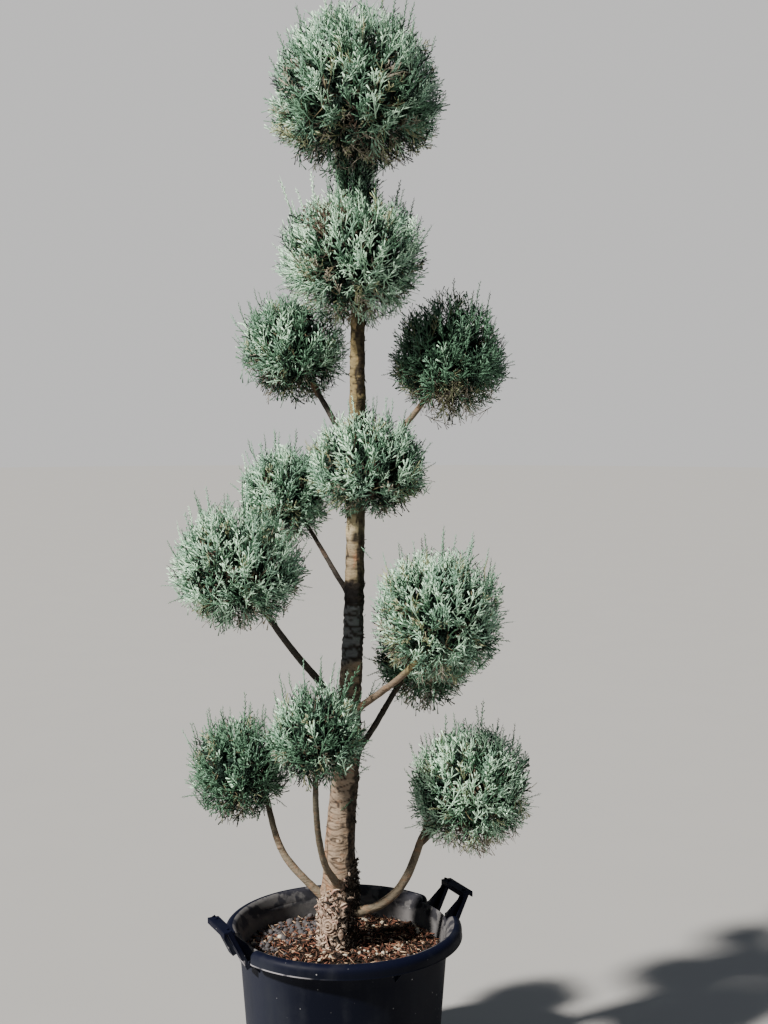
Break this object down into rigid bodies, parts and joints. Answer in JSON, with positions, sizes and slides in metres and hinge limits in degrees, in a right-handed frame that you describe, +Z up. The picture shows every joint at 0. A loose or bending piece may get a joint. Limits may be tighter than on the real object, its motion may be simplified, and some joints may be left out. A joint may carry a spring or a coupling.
{
  "type": "potted arizona cypress pompom topiary",
  "caption": "Cypress trained as a pompom tree: a bare trunk and curved boughs that end in clipped balls of blue-green foliage, in a round black nursery container with carrying handles.",
  "frame": {"origin": "centre of the container's flat underside", "axes": "+Z up along the trunk; +X to the right and +Y away from the viewer as the picture sees the plant"},
  "size_m": [0.7959, 0.541, 2.4632],
  "materials": {
    "container_plastic": "black moulded polypropylene, satin, with dust and lime marks",
    "growing_medium": "bark and coir chips with pale pumice gravel, rough",
    "bark": "flaking grey-brown bark",
    "bough_bark": "thin smooth grey-tan bark",
    "foliage": "glaucous blue-green scale-leaf sprays, matt"
  },
  "bodies": {
    "root": {"pot": "container_plastic", "pot_handle_right": "container_plastic", "pot_handle_left": "container_plastic", "growing_medium": "growing_medium", "trunk": "bark", "bough_lower_left": "bough_bark", "bough_lower_front": "bough_bark", "bough_lower_right": "bough_bark", "bough_left": "bough_bark", "bough_right": "bough_bark", "bough_right_back": "bough_bark", "bough_middle_left": "bough_bark", "bough_upper_left": "bough_bark", "bough_upper_right": "bough_bark", "foliage_top": "foliage", "foliage_second": "foliage", "foliage_middle": "foliage", "foliage_upper_left": "foliage", "foliage_upper_right": "foliage", "foliage_middle_left": "foliage", "foliage_left": "foliage", "foliage_right": "foliage", "foliage_right_back": "foliage", "foliage_lower_left": "foliage", "foliage_lower_front": "foliage", "foliage_lower_right": "foliage"}
  },
  "joints": []
}
